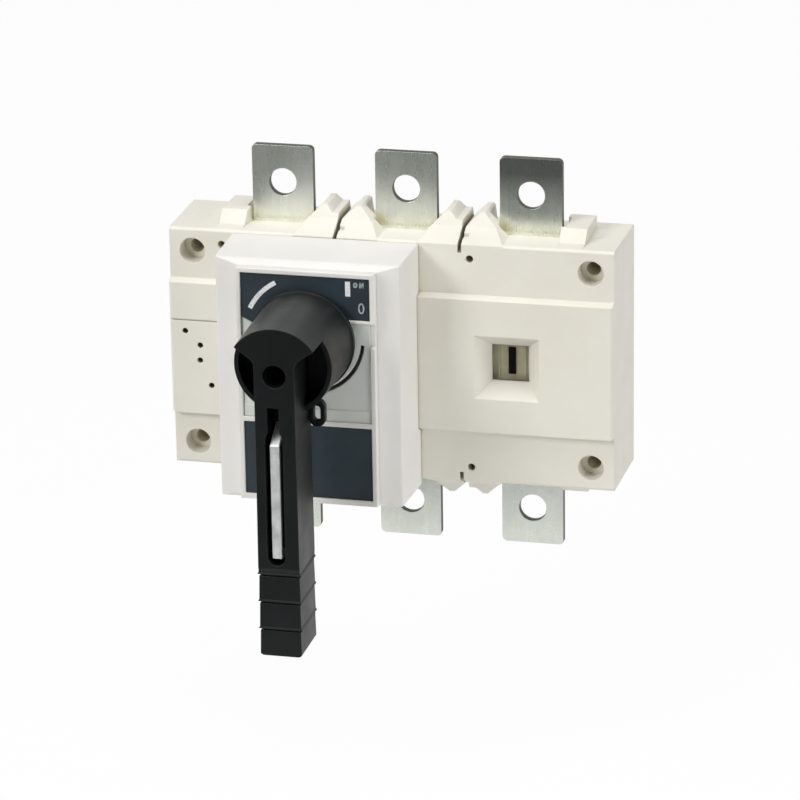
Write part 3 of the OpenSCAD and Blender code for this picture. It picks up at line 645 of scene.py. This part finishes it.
def printArc():
    look = marks
    bm = bmesh.new()
    radii = (look["arcRadius"], look["arcRadius"])
    addArcBand(bm, handleCentre, radii, look["arcWidth"], look["arcFrom"], look["arcTo"], look["steps"])
    finishMark("label_arc_mark", bm, inkWhite)


def printOnBar():
    look = marks
    bm = bmesh.new()
    width, height = look["onBarSize"]
    middle = handleCentre + Vector(look["onBar"])
    half = Vector((0, height / 2))
    addFlat(bm, strokeOutline(middle - half, middle + half, width))
    finishMark("label_on_mark", bm, inkWhite)


def printOnWord():
    look = marks
    bm = bmesh.new()
    x, z = look["onWord"]
    width, height = look["letterSize"]
    shift = width * look["letterGap"]
    addRing(bm, handleCentre + Vector((x - shift, z)), look["letterSize"], look["letterSteps"])
    middle = handleCentre + Vector((x + shift, z))
    inset = width / 2 - look["stroke"] / 2
    corners = [Vector((-inset, -height / 2)), Vector((-inset, height / 2)),
               Vector((inset, -height / 2)), Vector((inset, height / 2))]
    for i in range(3):
        addFlat(bm, strokeOutline(middle + corners[i], middle + corners[i + 1], look["stroke"]))
    finishMark("label_on_word", bm, inkGrey)


def printOffRing():
    look = marks
    bm = bmesh.new()
    addRing(bm, handleCentre + Vector(look["offRing"]), look["offRingSize"], look["steps"])
    finishMark("label_off_mark", bm, inkGrey)


printArc()
printOnBar()
printOnWord()
printOffRing()
print("marks printed")


# the studio: pale floor, white surroundings, soft lamps, dark cloths out in front
studio = {
    "floorDrop": 60 * mm,           # floor below the lowest point of the part
    "floorSize": 12,
    "floorColour": tint(246, 246, 245),
    "floorPatch": tint(243, 243, 242),
    "floorWhite": 0.96,             # share of plain white that the floor shows to the eye and in reflections
    "skyLight": 0.08,               # light of the surroundings on the part
    "skySeen": 1.0,                 # and their brightness to the eye and in reflections
    "clothStart": -260 * mm,        # the dark cloths begin here, in front of the part
    "clothEnd": -2300 * mm,
    "clothHalf": 3,                 # half their width
    "clothTop": 1.6,
    "clothGrey": tint(130, 132, 132),
    "clothPatch": tint(112, 114, 114),
}

lamps = {
    "key light": {"place": (-0.9, -1.2, 0.9), "size": (0.6, 0.6), "power": 13.9},
    "top light": {"place": (0.0, -0.25, 1.3), "size": (1.2, 0.9), "power": 11.9},
    "right fill": {"place": (1.3, -0.6, 0.2), "size": (0.9, 1.0), "power": 8.6},
}


def seenDirectly(tree):
    # 1 for the eye, mirrors and glass; 0 for light that falls on the part
    path = tree.nodes.new("ShaderNodeLightPath")
    total = path.outputs["Is Camera Ray"]
    for name in ("Is Glossy Ray", "Is Transmission Ray"):
        larger = tree.nodes.new("ShaderNodeMath")
        larger.operation = "MAXIMUM"
        tree.links.new(total, larger.inputs[0])
        tree.links.new(path.outputs[name], larger.inputs[1])
        total = larger.outputs[0]
    return total


def floorMaterial():
    material, tree, shader, coords = startMaterial("floor_white")
    shade = remap(tree, noise(tree, coords, 3, 3), 0.3, 0.7, 0, 1)
    paper = blendColours(tree, shade, studio["floorColour"], studio["floorPatch"])
    tree.links.new(paper, shader.inputs["Base Color"])
    shader.inputs["Roughness"].default_value = 0.85
    white = tree.nodes.new("ShaderNodeEmission")
    white.inputs["Color"].default_value = (1, 1, 1, 1)
    mix = tree.nodes.new("ShaderNodeMixShader")
    share = tree.nodes.new("ShaderNodeMath")
    share.operation = "MULTIPLY"
    share.inputs[1].default_value = studio["floorWhite"]
    tree.links.new(seenDirectly(tree), share.inputs[0])
    tree.links.new(share.outputs[0], mix.inputs[0])
    tree.links.new(shader.outputs[0], mix.inputs[1])
    tree.links.new(white.outputs[0], mix.inputs[2])
    tree.links.new(mix.outputs[0], tree.nodes["Material Output"].inputs["Surface"])
    return material


def buildFloor(lowest):
    half = studio["floorSize"] / 2
    mesh = bpy.data.meshes.new("floor")
    level = lowest - studio["floorDrop"]
    corners = [(-half, -half, level), (half, -half, level), (half, half, level), (-half, half, level)]
    mesh.from_pydata(corners, [], [(0, 1, 2, 3)])
    mesh.materials.append(floorMaterial())
    floor = bpy.data.objects.new("floor", mesh)
    bpy.context.scene.collection.objects.link(floor)


def darkCloth(name, corners):
    # only reflections show it, so that black plastic and metal have something dark to mirror
    material, tree, shader, coords = startMaterial(name)
    weave = remap(tree, noise(tree, coords, 40, 3), 0.3, 0.7, 0, 1)
    colour = blendColours(tree, weave, studio["clothGrey"], studio["clothPatch"])
    tree.links.new(colour, shader.inputs["Base Color"])
    shader.inputs["Roughness"].default_value = 0.95
    mesh = bpy.data.meshes.new(name)
    mesh.from_pydata(corners, [], [(0, 1, 2, 3)])
    mesh.materials.append(material)
    cloth = bpy.data.objects.new(name, mesh)
    bpy.context.scene.collection.objects.link(cloth)
    cloth.visible_camera = False
    cloth.visible_diffuse = False
    cloth.visible_transmission = False
    cloth.visible_shadow = False


def hangCloths(lowest):
    near = studio["clothStart"]
    far = studio["clothEnd"]
    side = studio["clothHalf"]
    top = studio["clothTop"]
    level = lowest - studio["floorDrop"] + 1 * mm
    farEdge = [(-side, far, level), (side, far, level)]
    darkCloth("cloth_on_floor", farEdge + [(side, near, level), (-side, near, level)])
    darkCloth("cloth_hung", farEdge + [(side, far, top), (-side, far, top)])


def lightWorld():
    world = bpy.data.worlds.new("soft room")
    world.use_nodes = True
    tree = world.node_tree
    sky = tree.nodes["Background"]
    sky.inputs["Color"].default_value = (1, 1, 1, 1)
    strength = remap(tree, seenDirectly(tree), 0, 1, studio["skyLight"], studio["skySeen"])
    tree.links.new(strength, sky.inputs["Strength"])
    bpy.context.scene.world = world


def softBox(name, target, place, size, power):
    data = bpy.data.lights.new(name, "AREA")
    data.shape = "RECTANGLE"
    data.size, data.size_y = size
    data.energy = power
    lamp = bpy.data.objects.new(name, data)
    lamp.location = place
    lamp.rotation_mode = "QUATERNION"
    lamp.rotation_quaternion = (Vector(target) - Vector(place)).to_track_quat("-Z", "Y")
    bpy.context.scene.collection.objects.link(lamp)


lowCorner, highCorner = boxAtLoad
centre = (lowCorner + highCorner) / 2
buildFloor(lowCorner.z)
lightWorld()
hangCloths(lowCorner.z)
for name, lamp in lamps.items():
    softBox(name, centre, **lamp)
print("studio lit")


# the camera
cameraSet = {
    "azimuth": 13.95,       # degrees to the right of straight ahead
    "elevation": 19.53,
    "roll": -0.94,
    "distance": 1.77034,
    "target": (5.19 * mm, -45 * mm, -14.19 * mm),
    "lens": 202.9,
    "sensor": 36,
}


def placeCamera():
    look = cameraSet
    a = math.radians(look["azimuth"])
    e = math.radians(look["elevation"])
    r = math.radians(look["roll"])
    back = Vector((math.sin(a) * math.cos(e), -math.cos(a) * math.cos(e), math.sin(e)))
    level = Vector((math.cos(a), math.sin(a), 0))
    up = back.cross(level)
    right = level * math.cos(r) + up * math.sin(r)
    top = up * math.cos(r) - level * math.sin(r)
    data = bpy.data.cameras.new("camera")
    data.lens = look["lens"]
    data.sensor_width = look["sensor"]
    camera = bpy.data.objects.new("camera", data)
    place = Vector(look["target"]) + back * look["distance"]
    camera.matrix_world = Matrix.Translation(place) @ Matrix((right, top, back)).transposed().to_4x4()
    bpy.context.scene.collection.objects.link(camera)
    bpy.context.scene.camera = camera


placeCamera()
bpy.context.scene.view_settings.view_transform = "Standard"
print("camera placed")
